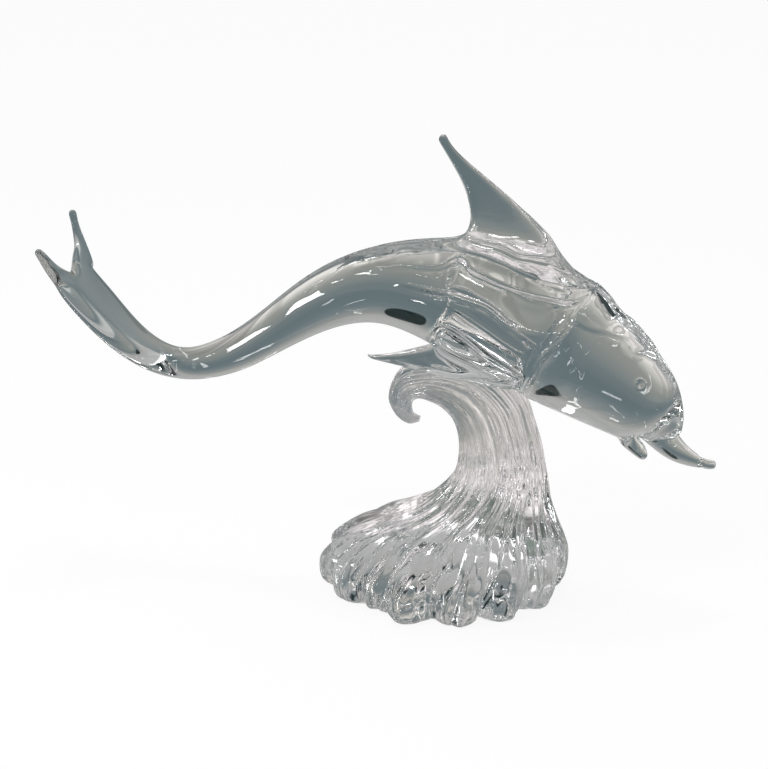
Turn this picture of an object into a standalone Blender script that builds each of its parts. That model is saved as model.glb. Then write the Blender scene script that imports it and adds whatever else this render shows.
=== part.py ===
"""Glass dolphin sculpture: a clear glass dolphin leaping over a ribbed glass wave.

Frame: the origin is the centre of the foot's flat underside, +X runs towards the beak,
+Y is the dolphin's left side and away from the viewer, +Z is up. Metres.
"""
import math

import bmesh
import bpy
from mathutils import Vector

# Driving sizes, metres
DOLPHIN_LENGTH = 0.447
WAVE_HEIGHT = 0.154
FOOT_DIAMETER = 0.166
RIB_DEPTH_FOOT = 0.0115
RIB_DEPTH_NECK = 0.0026
SEAT_GAP = 0.0003

# The dolphin is drawn at this length and scaled about its seat on the wave
DRAWN_LENGTH = 0.447
DRAWN_WAVE_HEIGHT = 0.154
DRAWN_FOOT_DIAMETER = 0.166
DRAWN_SEAT = Vector((0.030, 0.0, 0.143))
MM = 0.001
ACROSS = Vector((0.0, 1.0, 0.0))

# Each ring of the cage has sixteen corners at these angles from the back ridge
HALF_RING = (0, 15, 42, 70, 95, 118, 133, 148, 180)
RING = HALF_RING + tuple(-angle for angle in HALF_RING[7:0:-1])
DORSAL_COLUMNS = (15, 0, 1)
LEFT_FIN_COLUMNS = (5, 6, 7)
RIGHT_FIN_COLUMNS = (11, 10, 9)
JAW_COLUMNS = (7, 8, 9)

# Cage rings from the fluke's notch to the beak's end:
# name, centre x, centre z, half height, half width, lean of the ring's up direction in degrees
BODY_RINGS = (
    ("notch", -254.4, 195.6, 4.2, 31, 47),
    ("fluke", -240.8, 180.2, 4.8, 31.5, 48),
    ("fluke", -225.8, 163.4, 5.8, 27.5, 44),
    ("fluke", -211.6, 151.6, 7.2, 22, 34),
    ("fluke", -197.4, 144, 9, 17, 20),
    ("wrist", -182, 140.9, 10.8, 12.8, 3),
    ("tail", -166, 142.4, 11.8, 12.2, -17),
    ("tail", -141.6, 152, 13.6, 13.4, -29),
    ("tail", -117.5, 169, 15, 14.4, -35),
    ("tail", -92.5, 187.2, 18.8, 17.2, -32),
    ("tail", -70, 199.5, 22.4, 20, -20),
    ("waist", -44, 207, 26.6, 23.6, -6),
    ("waist", -14, 205, 33.8, 29, 6),
    ("fins_start", 2, 201.5, 38.2, 32.5, 9),
    ("back", 20, 196.8, 41.8, 35.4, 13),
    ("back", 38, 191.6, 44, 37.6, 18),
    ("dorsal_end", 56, 185.2, 45.8, 39.4, 25),
    ("behind_seam", 69.8, 177.6, 44.3, 38.6, 30),
    ("seam", 73.8, 175.2, 46, 40.4, 31),
    ("chest", 90, 164.6, 41.6, 37.6, 34),
    ("head", 106.6, 152.6, 36.8, 34, 38),
    ("head", 122.4, 140, 31.2, 29.2, 44),
    ("jaw_rear", 132.6, 130, 26.2, 25, 50),
    ("jaw_front", 138.2, 121.2, 18.4, 18.8, 72),
    ("chin", 140.2, 116.4, 13.8, 15, 80),
    ("beak_root", 140.8, 113.6, 11.4, 10.8, 78),
    ("beak", 149.8, 105.4, 8.7, 9.4, 66),
    ("beak", 158.6, 101, 6.1, 7.4, 52),
    ("beak", 165.2, 98.9, 4, 5.2, 36),
    ("beak", 169.4, 98.1, 3.1, 3.6, 20),
    ("beak", 174, 97.7, 3.4, 3.6, 8),
    ("beak", 177, 97.7, 2.2, 2.4, 0),
)

# Where the skin was pressed in, by ring number from the ring where the fins start:
# angle and depth of the saddle's edge, then the facet's upper ridge, hollow and lower ridge,
# and the hollow's depth
PRESSED = (
    (40, 0.6, 72, 92, 108, 1.6),
    (46, 2.4, 75, 94, 112, 5),
    (50, 2.8, 79, 98, 116, 5.6),
    (47, 2.6, 84, 102, 119, 4),
    (34, 1.6, 70, 95, 118, 0),
)
# Depth of the valley on top of the head, in the ring after its edge
BROW_PRESS = 1.6
# The head's edge is swept back along the flanks
# How far the flanks of a section run back or up from its middle
SWEEPS = {"behind_seam": 6.5, "seam": 6.5, "jaw_front": 5.0, "chin": 3.2, "beak_root": 3.0}
RIDGE_CREASE = 0.75
SADDLE_CREASE = 0.6
SEAM_CREASE = 0.8
BROW_CREASE = 0.6
CHIN_CREASE = 0.7

# Eye: its place on the flank in drawing millimetres, ring radius, ring thickness, pupil radius
EYE_PLACE = (128.2, 24.3, 158.5)
EYE_RING = 3.3
EYE_WIRE = 0.9
EYE_PUPIL = 2.4

# Dorsal fin levels: trailing edge x and z, leading edge x and z, half thickness
DORSAL_LEVELS = (
    (13.2, 250, 68.5, 244.2, 5.8),
    (12.6, 262, 49.4, 261, 4.4),
    (9, 275, 32.2, 275, 3.6),
    (2.4, 287, 16.4, 287.4, 2.9),
    (-3, 296, 5.6, 296.2, 2.4),
    (-6.4, 301.4, 0.8, 302, 2.2),
    (-8.4, 304.6, -0.8, 305, 3),
    (-6.6, 307.6, -2.4, 307.8, 1.8),
)

# Pectoral fin levels: trailing corner x, y, z, leading corner x, y, z, half thickness
FIN_LEVELS = (
    (-6, 31, 178, 48, 37, 152.5, 5.6),
    (-15, 37, 177, 30, 43.5, 158, 4.4),
    (-24, 43, 175.5, 6, 48.5, 163.5, 3.4),
    (-33, 47, 174.5, -18, 50.5, 169, 2.6),
    (-40, 49.5, 174.2, -33, 51, 171.6, 1.9),
    (-43.5, 50, 174.8, -40, 51, 172.8, 1.6),
)

# Lower jaw levels: rear x and z, front x and z, half width
JAW_LEVELS = (
    (112.5, 109.2, 128.6, 110.8, 6.4),
    (117, 105, 131.4, 107.2, 5),
    (122, 101.4, 133, 103.4, 4.4),
    (126, 98.6, 133.2, 100.6, 3.8),
    (128.4, 97.6, 132.4, 99, 2.4),
)

# Fluke lobe levels on the dolphin's left (1) and right (-1):
# centre x, y, z, half width, half thickness
LOBE_LEVELS = {
    1: (
        (-255.2, 21.5, 200.8, 10.8, 4),
        (-258.6, 30, 207, 7, 3.4),
        (-263, 35.6, 214.5, 4.6, 3),
        (-266.6, 39.4, 223.4, 2.5, 2.3),
        (-268.2, 40.8, 228.6, 3.1, 3.1),
        (-268.8, 41.6, 231.4, 1.9, 1.9),
    ),
    -1: (
        (-258.6, -20, 202.6, 11, 4),
        (-261.6, -26, 210.6, 8.4, 3.6),
        (-263.6, -31, 217.6, 5.8, 3.2),
        (-265.2, -34, 222.2, 3.8, 2.8),
        (-265.9, -35.6, 224.2, 2.8, 2.6),
        (-266.3, -36.4, 225.4, 1.7, 1.7),
    ),
}
# Each lobe starts this far from the middle plane
LOBE_ROOT = 14

# Wave sections from the foot to the hook: inner x and z, outer x and z, half depth, rib share
WAVE_SECTIONS = (
    (-77.5, 0, 75, 0, 76, 1.0),
    (-82, 3, 79.5, 4, 80.5, 1.0),
    (-84.6, 9, 82, 14, 80.5, 0.97),
    (-84.2, 19, 82, 26, 73.5, 0.9),
    (-75.2, 28.4, 79, 37, 63.5, 0.82),
    (-62.5, 36.8, 74.5, 49, 53.5, 0.7),
    (-42.5, 44.2, 70.5, 61, 45, 0.56),
    (-20, 54.5, 68.5, 72, 39, 0.44),
    (-4, 68, 67, 82, 34, 0.35),
    (5, 81, 65.5, 92, 31, 0.3),
    (8.2, 95, 63, 104, 28.5, 0.27),
    (7.4, 108.5, 58.5, 119, 27, 0.25),
    (3.5, 118.5, 51, 137, 25, 0.23),
    (-4, 125.5, 32, 154, 22.5, 0.2),
    (-12, 128.8, 8, 159, 19.5, 0.18),
    (-19, 129.8, -13.5, 156, 16, 0.16),
    (-23.2, 126.8, -31.4, 148.8, 12.8, 0.13),
    (-24.2, 122.4, -39.6, 131, 9.6, 0.09),
    (-23.4, 118.9, -35.2, 117.6, 6.4, 0.04),
    (-21.6, 117.6, -26.6, 110.9, 4, 0.02),
    (-18.4, 116.6, -19, 112.4, 2, 0.01),
)
FOOT_SECTIONS = 7
# The ribs: the turn of each from the +X axis in degrees, and how far its foot is set back in mm
RIBS = (
    (-164, 0),
    (-141, 3),
    (-120, 11),
    (-101, 0),
    (-74, 1),
    (-47, 1.5),
    (-22, -1.5),
    (7, 0),
    (33, 2),
    (59, 0),
    (85, 1),
    (111, 0),
    (137, 2),
    (167, 0),
)
CORNERS_PER_RIB = 5
# A rib's profile: the grooves are wide between the foot's lobes and narrow on the neck
LOBE_ROUNDNESS = 1.4
NECK_ROUNDNESS = 0.9
# The foot is a little squarer than an ellipse
FOOT_SQUARENESS = 0.92


def clear_scene():
    for item in list(bpy.data.objects):
        bpy.data.objects.remove(item, do_unlink=True)


def glass(name, color):
    """Clear glass for one piece."""
    material = bpy.data.materials.new(name)
    material.use_nodes = True
    shader = material.node_tree.nodes["Principled BSDF"]
    shader.inputs["Base Color"].default_value = color
    shader.inputs["Roughness"].default_value = 0.02
    shader.inputs["IOR"].default_value = 1.5
    shader.inputs["Transmission Weight"].default_value = 1.0
    return material


def seat_on_wave():
    """Where the dolphin's drawing point of contact lies for the present wave."""
    return Vector((DRAWN_SEAT.x, 0.0, DRAWN_SEAT.z)) * (WAVE_HEIGHT / DRAWN_WAVE_HEIGHT)


def dolphin_point(x, y, z):
    """A point of the dolphin's drawing in millimetres, placed in the world."""
    drawn = Vector((x, y, z)) * MM
    return seat_on_wave() + (drawn - DRAWN_SEAT) * (DOLPHIN_LENGTH / DRAWN_LENGTH)


def ring_number(name):
    return [ring[0] for ring in BODY_RINGS].index(name)


def ring_points(index):
    """The sixteen cage corners of one body ring."""
    name, x, z, half_height, half_width, lean = BODY_RINGS[index]
    up = Vector((math.sin(math.radians(lean)), 0.0, math.cos(math.radians(lean))))
    forward = Vector((up.z, 0.0, -up.x))
    centre = Vector((x, 0.0, z))
    flatness = 0.7 if name in ("notch", "fluke") else 1.0
    angles = list(RING)
    press = [0.0] * len(RING)
    step = index - ring_number("fins_start")
    if 0 <= step < len(PRESSED):
        saddle, saddle_depth, upper, hollow, lower, depth = PRESSED[step]
        for column, angle in zip((2, 3, 4, 5), (saddle, upper, hollow, lower)):
            angles[column] = angle
            angles[-column] = -angle
        press[2] = press[-2] = saddle_depth
        press[4] = press[-4] = depth
    if index == ring_number("seam") + 1:
        press[1] = press[-1] = BROW_PRESS
    points = []
    for angle, inward in zip(angles, press):
        rise = math.cos(math.radians(angle))
        side = math.sin(math.radians(angle))
        sweep = SWEEPS.get(name, 0.0) * side * side
        rise = math.copysign(abs(rise) ** flatness, rise)
        spoke = up * half_height * rise + ACROSS * half_width * side
        points.append(centre + spoke * (1.0 - inward / spoke.length) - forward * sweep)
    return [dolphin_point(*point) for point in points]


def crease(bm, vertices, weight):
    """Sharpen the cage edges along a run of vertices."""
    layer = bm.edges.layers.float.get("crease_edge")
    for near, far in zip(vertices, vertices[1:]):
        edge = bm.edges.get((near, far))
        if edge is not None:
            edge[layer] = weight


def add_loft(bm, rings):
    """Skin a row of closed rings with quads and return the quads as rows."""
    rows = []
    for near, far in zip(rings, rings[1:]):
        count = len(near)
        row = []
        for k in range(count):
            following = (k + 1) % count
            row.append(bm.faces.new((near[k], near[following], far[following], far[k])))
        rows.append(row)
    return rows


def pull_out(bm, grid, levels):
    """Pull a patch of cage faces out of the skin, level by level.

    grid holds the patch's vertices by row and column; each level is a function that
    gives a position for the share along the rows and the side, -1 to 1, over the columns.
    """
    for place in levels:
        columns = len(grid[0])
        faces = set()
        for upper, lower in zip(grid, grid[1:]):
            for c in range(columns - 1):
                corners = {upper[c], upper[c + 1], lower[c], lower[c + 1]}
                shared = [face for face in upper[c].link_faces if set(face.verts) == corners]
                faces.update(shared)
        corners_at = [[tuple(vertex.co) for vertex in row] for row in grid]
        made = bmesh.ops.extrude_face_region(bm, geom=list(faces))["geom"]
        fresh = {tuple(item.co): item for item in made if isinstance(item, bmesh.types.BMVert)}
        bmesh.ops.delete(bm, geom=[face for face in faces if face.is_valid], context="FACES")
        grid = [[fresh[corner] for corner in row] for row in corners_at]
        rows = len(grid) - 1
        for r, row in enumerate(grid):
            for c, vertex in enumerate(row):
                vertex.co = place(r / rows, 2.0 * c / (columns - 1) - 1.0)
    return grid


def blade_level(trailing, leading, half_thickness, thick_way, round_ends=0.35):
    """A level of a fin: its chord from trailing to leading corner and its half thickness."""
    chord = leading - trailing

    def place(share, side):
        inset = round_ends * half_thickness * abs(side) / max(chord.length, 1e-9) * 1.6
        along = inset + share * (1.0 - 2.0 * inset)
        return trailing + chord * along + thick_way * half_thickness * side

    return place


def dorsal_levels():
    levels = []
    scale = MM * DOLPHIN_LENGTH / DRAWN_LENGTH
    for tx, tz, lx, lz, half in DORSAL_LEVELS:
        trailing = dolphin_point(tx, 0.0, tz)
        leading = dolphin_point(lx, 0.0, lz)
        levels.append(blade_level(trailing, leading, half * scale, ACROSS))
    return levels


def fin_levels(side):
    """Levels of the pectoral fin on one side, +1 for the dolphin's left and -1 for its right."""
    levels = []
    scale = MM * DOLPHIN_LENGTH / DRAWN_LENGTH
    outward = Vector((0.1, 0.75 * side, -0.65)).normalized()
    for tx, ty, tz, lx, ly, lz, half in FIN_LEVELS:
        trailing = dolphin_point(tx, ty * side, tz)
        leading = dolphin_point(lx, ly * side, lz)
        chord = (leading - trailing).normalized()
        thick_way = outward.cross(chord).normalized() * side
        levels.append(blade_level(trailing, leading, half * scale, thick_way))
    return levels


def jaw_levels():
    levels = []
    scale = MM * DOLPHIN_LENGTH / DRAWN_LENGTH
    for rx, rz, fx, fz, half in JAW_LEVELS:
        rear = dolphin_point(rx, 0.0, rz)
        front = dolphin_point(fx, 0.0, fz)
        levels.append(blade_level(rear, front, half * scale, -ACROSS))
    return levels


def add_lobe(bm, notch_ring, notch_middle, side):
    """One lobe of the fluke, grown from its half of the notch ring."""
    scale = MM * DOLPHIN_LENGTH / DRAWN_LENGTH
    start = [notch_ring[side * k % 16] for k in range(9)] + [notch_middle]
    root = dolphin_point(BODY_RINGS[0][1], LOBE_ROOT * side, BODY_RINGS[0][2])
    centres = [dolphin_point(x, y, z) for x, y, z, half, thick in LOBE_LEVELS[side]]
    path = [root] + centres
    rings = [start]
    for index, (x, y, z, half, thick) in enumerate(LOBE_LEVELS[side]):
        centre = centres[index]
        ahead = path[min(index + 2, len(path) - 1)]
        along = (ahead - path[index]).normalized()
        lean = math.radians(BODY_RINGS[0][5] + 4 * index)
        up = Vector((math.sin(lean), 0.0, math.cos(lean)))
        out = up.cross(along).normalized()
        if out.y * side < 0:
            out = -out
        up = along.cross(out).normalized()
        if up.x < 0:
            up = -up
        ring = []
        for k in range(10):
            turn = math.radians(144 - 36 * k)
            offset = out * half * math.cos(turn) + up * thick * math.sin(turn)
            ring.append(bm.verts.new(centre + offset * scale))
        rings.append(ring)
    add_loft(bm, rings)
    bm.faces.new(rings[-1])


def dolphin_cage():
    """The whole dolphin as one closed cage for subdivision."""
    bm = bmesh.new()
    bm.edges.layers.float.new("crease_edge")
    rings = [[bm.verts.new(point) for point in ring_points(index)] for index in range(len(BODY_RINGS))]
    add_loft(bm, rings)
    bm.faces.new(rings[-1])
    notch = BODY_RINGS[0]
    middle = bm.verts.new(dolphin_point(notch[1] - 1.5, 0.0, notch[2] + 1.8))
    for side in (1, -1):
        add_lobe(bm, rings[0], middle, side)

    start = ring_number("fins_start")
    seam = ring_number("seam")
    for side in (1, -1):
        for column, weight in ((2, SADDLE_CREASE), (3, RIDGE_CREASE), (5, RIDGE_CREASE)):
            crease(bm, [rings[r][column * side] for r in range(start, seam + 1)], weight)
        crease(bm, [rings[start][column * side] for column in (3, 4, 5)], SADDLE_CREASE)
        crease(bm, [rings[seam][column * side] for column in range(1, 8)], SEAM_CREASE)
        crease(bm, [rings[r][side] for r in range(seam, seam + 3)], BROW_CREASE)
    beak_root = rings[ring_number("beak_root")]
    crease(bm, beak_root + beak_root[:1], CHIN_CREASE)
    chin = rings[ring_number("chin")]
    crease(bm, chin + chin[:1], CHIN_CREASE)

    def patch(first, last, columns):
        rows = range(ring_number(first), ring_number(last) + 1)
        return [[rings[r][c] for c in columns] for r in rows]

    pull_out(bm, patch("fins_start", "dorsal_end", DORSAL_COLUMNS), dorsal_levels())
    pull_out(bm, patch("fins_start", "behind_seam", LEFT_FIN_COLUMNS), fin_levels(1))
    pull_out(bm, patch("fins_start", "behind_seam", RIGHT_FIN_COLUMNS), fin_levels(-1))
    pull_out(bm, patch("jaw_rear", "jaw_front", JAW_COLUMNS), jaw_levels())
    bmesh.ops.recalc_face_normals(bm, faces=bm.faces)
    return bm


def eye_axis(side):
    """Place and outward direction of the eye on one side."""
    x, y, z = EYE_PLACE
    return dolphin_point(x, y * side, z), Vector((0.56, 0.77 * side, 0.31)).normalized()


def eye_mesh(shape):
    """Both eyes' rings as tori, or both pupils as balls, for joining or cutting."""
    scale = MM * DOLPHIN_LENGTH / DRAWN_LENGTH
    bm = bmesh.new()
    for side in (1, -1):
        place, outward = eye_axis(side)
        turn = outward.to_track_quat("Z", "Y").to_matrix().to_4x4()
        turn.translation = place
        if shape == "pupil":
            bmesh.ops.create_icosphere(bm, subdivisions=2, radius=EYE_PUPIL * scale, matrix=turn)
            continue
        loops = []
        for k in range(14):
            around = 2 * math.pi * k / 14
            spoke = Vector((math.cos(around), math.sin(around), 0.0))
            loop = []
            for m in range(6):
                roll = 2 * math.pi * m / 6
                reach = EYE_RING + EYE_WIRE * math.cos(roll)
                point = spoke * reach + Vector((0.0, 0.0, EYE_WIRE * math.sin(roll)))
                loop.append(bm.verts.new(turn @ (point * scale)))
            loops.append(loop)
        add_loft(bm, loops + [loops[0]])
    bmesh.ops.recalc_face_normals(bm, faces=bm.faces)
    return bm


def object_from(bm, name, material, collection):
    mesh = bpy.data.meshes.new(name)
    bm.to_mesh(mesh)
    bm.free()
    mesh.materials.append(material)
    mesh.shade_smooth()
    item = bpy.data.objects.new(name, mesh)
    collection.objects.link(item)
    return item


def subdivide(item, level):
    modifier = item.modifiers.new("smooth_skin", "SUBSURF")
    modifier.levels = level
    modifier.render_levels = level
    return modifier


def wave_ring(section, index):
    """Corners of one ribbed section of the wave."""
    inner_x, inner_z, outer_x, outer_z, half_depth, rib_share = section
    tall = WAVE_HEIGHT / DRAWN_WAVE_HEIGHT
    wide = FOOT_DIAMETER / DRAWN_FOOT_DIAMETER
    spread = tall + (wide - tall) * max(0.0, 1.0 - index / FOOT_SECTIONS)
    inner = Vector((inner_x * spread, 0.0, inner_z * tall)) * MM
    outer = Vector((outer_x * spread, 0.0, outer_z * tall)) * MM
    centre = (inner + outer) / 2
    reach = (outer - inner) / 2
    groove = max(RIB_DEPTH_FOOT * rib_share, RIB_DEPTH_NECK * min(1.0, rib_share * 4))
    foot = max(0.0, 1.0 - index / FOOT_SECTIONS)
    squareness = 1.0 - (1.0 - FOOT_SQUARENESS) * foot
    roundness = NECK_ROUNDNESS + (LOBE_ROUNDNESS - NECK_ROUNDNESS) * foot
    depth = half_depth * MM * spread
    points = []
    for number, (rib_turn, setback) in enumerate(RIBS):
        before = RIBS[number - 1][0] - (360 if number == 0 else 0)
        after = RIBS[(number + 1) % len(RIBS)][0] + (360 if number == len(RIBS) - 1 else 0)
        for k in range(CORNERS_PER_RIB):
            share = k / CORNERS_PER_RIB
            turn = math.radians((before + rib_turn + (after - before) * share) / 2)
            swell = abs(math.sin(math.pi * share)) ** roundness
            cut = groove * (1.0 - swell) + setback * MM * swell * foot
            along = reach * (1.0 - cut / max(reach.length, 0.004))
            across = ACROSS * (depth - cut * depth / max(depth, 0.004))
            out = math.copysign(abs(math.cos(turn)) ** squareness, math.cos(turn))
            side = math.copysign(abs(math.sin(turn)) ** squareness, math.sin(turn))
            points.append(centre + along * out + across * side)
    return points


def wave_mesh():
    bm = bmesh.new()
    rings = []
    for index, section in enumerate(WAVE_SECTIONS):
        rings.append([bm.verts.new(point) for point in wave_ring(section, index)])
    add_loft(bm, rings)
    bm.faces.new(rings[0])
    bm.faces.new(rings[-1])
    bmesh.ops.recalc_face_normals(bm, faces=bm.faces)
    return bm


clear_scene()
sculpture = bpy.data.collections.new("glass_dolphin_sculpture")
bpy.context.scene.collection.children.link(sculpture)
cutters = bpy.data.collections.new("cutters")
bpy.context.scene.collection.children.link(cutters)

dolphin = object_from(dolphin_cage(), "dolphin", glass("dolphin_glass", (0.96, 0.98, 0.98, 1)), sculpture)
subdivide(dolphin, 1)

wave = object_from(wave_mesh(), "wave_base", glass("wave_glass", (0.97, 0.97, 0.98, 1)), sculpture)

# Guides for the Booleans; they never become parts
guide = bpy.data.materials.new("guide")


def guide_object(bm, name):
    item = object_from(bm, name, guide, cutters)
    item.hide_render = True
    item.display_type = "WIRE"
    return item


def boolean(item, other, operation):
    modifier = item.modifiers.new(other.name, "BOOLEAN")
    modifier.operation = operation
    modifier.solver = "EXACT"
    modifier.object = other


boolean(dolphin, guide_object(eye_mesh("ring"), "eye_rings"), "UNION")
boolean(dolphin, guide_object(eye_mesh("pupil"), "eye_pupils"), "DIFFERENCE")

# The seat: the wave is cut by the dolphin's skin grown by the gap
seat = guide_object(dolphin_cage(), "dolphin_seat")
subdivide(seat, 1)
grow = seat.modifiers.new("grow", "DISPLACE")
grow.mid_level = 0.0
grow.strength = SEAT_GAP
boolean(wave, seat, "DIFFERENCE")
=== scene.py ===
# %% [markdown]
# # Glass dolphin on a wave
# The sculpture is two castings of clear glass: a dolphin pulled from one hot gather, and a ribbed
# wave that curls under its belly and is the base. Nothing moves. The imported CAD model is loaded
# first as the frame, and each glass piece here stands in for one of its solids, which is hidden.

# %% The frame
import math

import bmesh
import bpy
import numpy as np
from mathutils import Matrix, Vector, noise
from mathutils.bvhtree import BVHTree


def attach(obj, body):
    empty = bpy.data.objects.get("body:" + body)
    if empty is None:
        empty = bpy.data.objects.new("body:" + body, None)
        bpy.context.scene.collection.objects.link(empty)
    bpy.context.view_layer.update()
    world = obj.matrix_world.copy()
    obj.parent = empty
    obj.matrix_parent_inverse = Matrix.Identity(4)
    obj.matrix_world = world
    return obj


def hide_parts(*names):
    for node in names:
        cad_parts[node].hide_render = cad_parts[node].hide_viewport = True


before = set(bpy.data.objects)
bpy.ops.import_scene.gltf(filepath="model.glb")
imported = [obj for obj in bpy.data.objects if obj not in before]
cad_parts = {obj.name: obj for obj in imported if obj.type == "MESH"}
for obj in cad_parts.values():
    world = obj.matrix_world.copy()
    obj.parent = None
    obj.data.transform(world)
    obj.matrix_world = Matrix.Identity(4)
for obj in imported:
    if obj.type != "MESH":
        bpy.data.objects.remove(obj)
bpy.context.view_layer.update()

# %% [markdown]
# ## Drawing sizes
# The dolphin is drawn in millimetres on its own middle plane: x runs from the fluke to the beak,
# z is up, and y is the width. A glassworker shapes such a body as one tapering gather, so the
# drawing is a row of cross-sections along the spine, each with a height, a width and a lean.

# %% Sections of the body
MM = 0.001
ACROSS = Vector((0.0, 1.0, 0.0))

# name, centre x, centre z, half height, half width, lean of the section in degrees
BODY_RINGS = (
    ("notch", -254.4, 195.6, 4.2, 31, 47),
    ("fluke", -240.8, 180.2, 4.8, 31.5, 48),
    ("fluke", -225.8, 163.4, 5.8, 27.5, 44),
    ("fluke", -211.6, 151.6, 7.2, 22, 34),
    ("fluke", -197.4, 144, 9, 17, 20),
    ("wrist", -182, 140.9, 10.8, 12.8, 3),
    ("tail", -166, 142.4, 11.8, 12.2, -17),
    ("tail", -141.6, 152, 13.6, 13.4, -29),
    ("tail", -117.5, 169, 15, 14.4, -35),
    ("tail", -92.5, 187.2, 18.8, 17.2, -32),
    ("tail", -70, 199.5, 22.4, 20, -20),
    ("waist", -44, 207, 26.6, 23.6, -6),
    ("waist", -14, 205, 33.8, 29, 6),
    ("fins_start", 2, 201.5, 38.2, 32.5, 9),
    ("back", 20, 196.8, 41.8, 35.4, 13),
    ("back", 38, 191.6, 44, 37.6, 18),
    ("dorsal_end", 56, 185.2, 45.8, 39.4, 25),
    ("behind_seam", 69.8, 177.6, 44.3, 38.6, 30),
    ("seam", 73.8, 175.2, 46, 40.4, 31),
    ("chest", 90, 164.6, 41.6, 37.6, 34),
    ("head", 106.6, 152.6, 36.8, 34, 38),
    ("head", 122.4, 140, 31.2, 29.2, 44),
    ("jaw_rear", 132.6, 130, 26.2, 25, 50),
    ("jaw_front", 138.2, 121.2, 18.4, 18.8, 72),
    ("chin", 140.2, 116.4, 13.8, 15, 80),
    ("beak_root", 140.8, 113.6, 11.4, 10.8, 78),
    ("beak", 149.8, 105.4, 8.7, 9.4, 66),
    ("beak", 158.6, 101, 6.1, 7.4, 52),
    ("beak", 165.2, 98.9, 4, 5.2, 36),
    ("beak", 169.4, 98.1, 3.1, 3.6, 20),
    ("beak", 174, 97.7, 3.4, 3.6, 8),
    ("beak", 177, 97.7, 2.2, 2.4, 0),
)
HALF_RING = (0, 15, 42, 70, 95, 118, 133, 148, 180)
RING = HALF_RING + tuple(-angle for angle in HALF_RING[7:0:-1])


def ring_number(name):
    """Number of the first section with this name."""
    return [ring[0] for ring in BODY_RINGS].index(name)


print("Body sections:", len(BODY_RINGS), "with", len(RING), "corners each")

# %% [markdown]
# ## Pressed facets and the head's edge
# Each flank has a hollow that was pressed while the glass was soft, between two ridges that run
# back from the head. The head overlaps the body with a clear edge. Both are made by moving
# corners of the cage and by creasing its edges, which keeps them crisp when it is subdivided.

# %% Corners of one section
# For each section from the first that carries fins: angle and depth of the saddle's edge, then
# the facet's upper ridge, hollow and lower ridge, and the hollow's depth
PRESSED = (
    (40, 0.6, 72, 92, 108, 1.6),
    (46, 2.4, 75, 94, 112, 5),
    (50, 2.8, 79, 98, 116, 5.6),
    (47, 2.6, 84, 102, 119, 4),
    (34, 1.6, 70, 95, 118, 0),
)
# How far the brow is pressed in, and the sides of a section are swept back, in mm
BROW_PRESS = 1.6
SWEEPS = {"behind_seam": 6.5, "seam": 6.5, "jaw_front": 5.0, "chin": 3.2, "beak_root": 3.0}
# Power of the height that makes the flat tail's sections fuller than an ellipse
PADDLE_POWER = 0.7


def ring_points(index):
    """The sixteen corners of one body section, in drawing millimetres."""
    name, x, z, half_height, half_width, lean = BODY_RINGS[index]
    up = Vector((math.sin(math.radians(lean)), 0.0, math.cos(math.radians(lean))))
    forward = Vector((up.z, 0.0, -up.x))
    centre = Vector((x, 0.0, z))
    flatness = PADDLE_POWER if name in ("notch", "fluke") else 1.0
    angles = list(RING)
    press = [0.0] * len(RING)
    step = index - ring_number("fins_start")
    if 0 <= step < len(PRESSED):
        saddle, saddle_depth, upper, hollow, lower, depth = PRESSED[step]
        for column, angle in zip((2, 3, 4, 5), (saddle, upper, hollow, lower)):
            angles[column] = angle
            angles[-column] = -angle
        press[2] = press[-2] = saddle_depth
        press[4] = press[-4] = depth
    if index == ring_number("seam") + 1:
        press[1] = press[-1] = BROW_PRESS
    points = []
    for angle, inward in zip(angles, press):
        rise = math.cos(math.radians(angle))
        side = math.sin(math.radians(angle))
        sweep = SWEEPS.get(name, 0.0) * side * side
        rise = math.copysign(abs(rise) ** flatness, rise)
        spoke = up * half_height * rise + ACROSS * half_width * side
        points.append((centre + spoke * (1.0 - inward / spoke.length) - forward * sweep) * MM)
    return points


# %% [markdown]
# ## Fins pulled from the skin
# A maker pinches hot glass with jacks and pulls it out, so a fin grows from the body without a
# joint. The cage does the same: a patch of faces is extruded, and each new level is placed as a
# blade that gets narrower and thinner. The last levels swell into the small ball that is left
# where the thread of glass was snapped off.

# %% Pulling a patch out
def add_loft(bm, rings):
    """Skin a row of closed rings with quads."""
    for near, far in zip(rings, rings[1:]):
        count = len(near)
        for k in range(count):
            following = (k + 1) % count
            bm.faces.new((near[k], near[following], far[following], far[k]))


def pull_out(bm, grid, levels):
    """Extrude a patch, given by its vertices in rows, once for each level."""
    for place in levels:
        columns = len(grid[0])
        faces = []
        for upper, lower in zip(grid, grid[1:]):
            for c in range(columns - 1):
                corners = {upper[c], upper[c + 1], lower[c], lower[c + 1]}
                faces += [face for face in upper[c].link_faces if set(face.verts) == corners]
        corners_at = [[tuple(vertex.co) for vertex in row] for row in grid]
        made = bmesh.ops.extrude_face_region(bm, geom=faces)["geom"]
        fresh = {tuple(item.co): item for item in made if isinstance(item, bmesh.types.BMVert)}
        bmesh.ops.delete(bm, geom=[face for face in faces if face.is_valid], context="FACES")
        grid = [[fresh[corner] for corner in row] for row in corners_at]
        rows = len(grid) - 1
        for r, row in enumerate(grid):
            for c, vertex in enumerate(row):
                vertex.co = place(r / rows, 2.0 * c / (columns - 1) - 1.0)


# Share of the half thickness by which a blade's flat faces stop short of its edges
EDGE_INSET = 0.56


def blade_level(trailing, leading, half_thickness, thick_way):
    """One level of a fin, from its trailing to its leading corner, all in millimetres."""
    chord = leading - trailing

    def place(share, side):
        """Point at a share of the chord, and a side from -1 to 1 of the thickness."""
        inset = EDGE_INSET * half_thickness * abs(side) / max(chord.length, 1e-6)
        along = inset + share * (1.0 - 2.0 * inset)
        return (trailing + chord * along + thick_way * half_thickness * side) * MM

    return place


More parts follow.
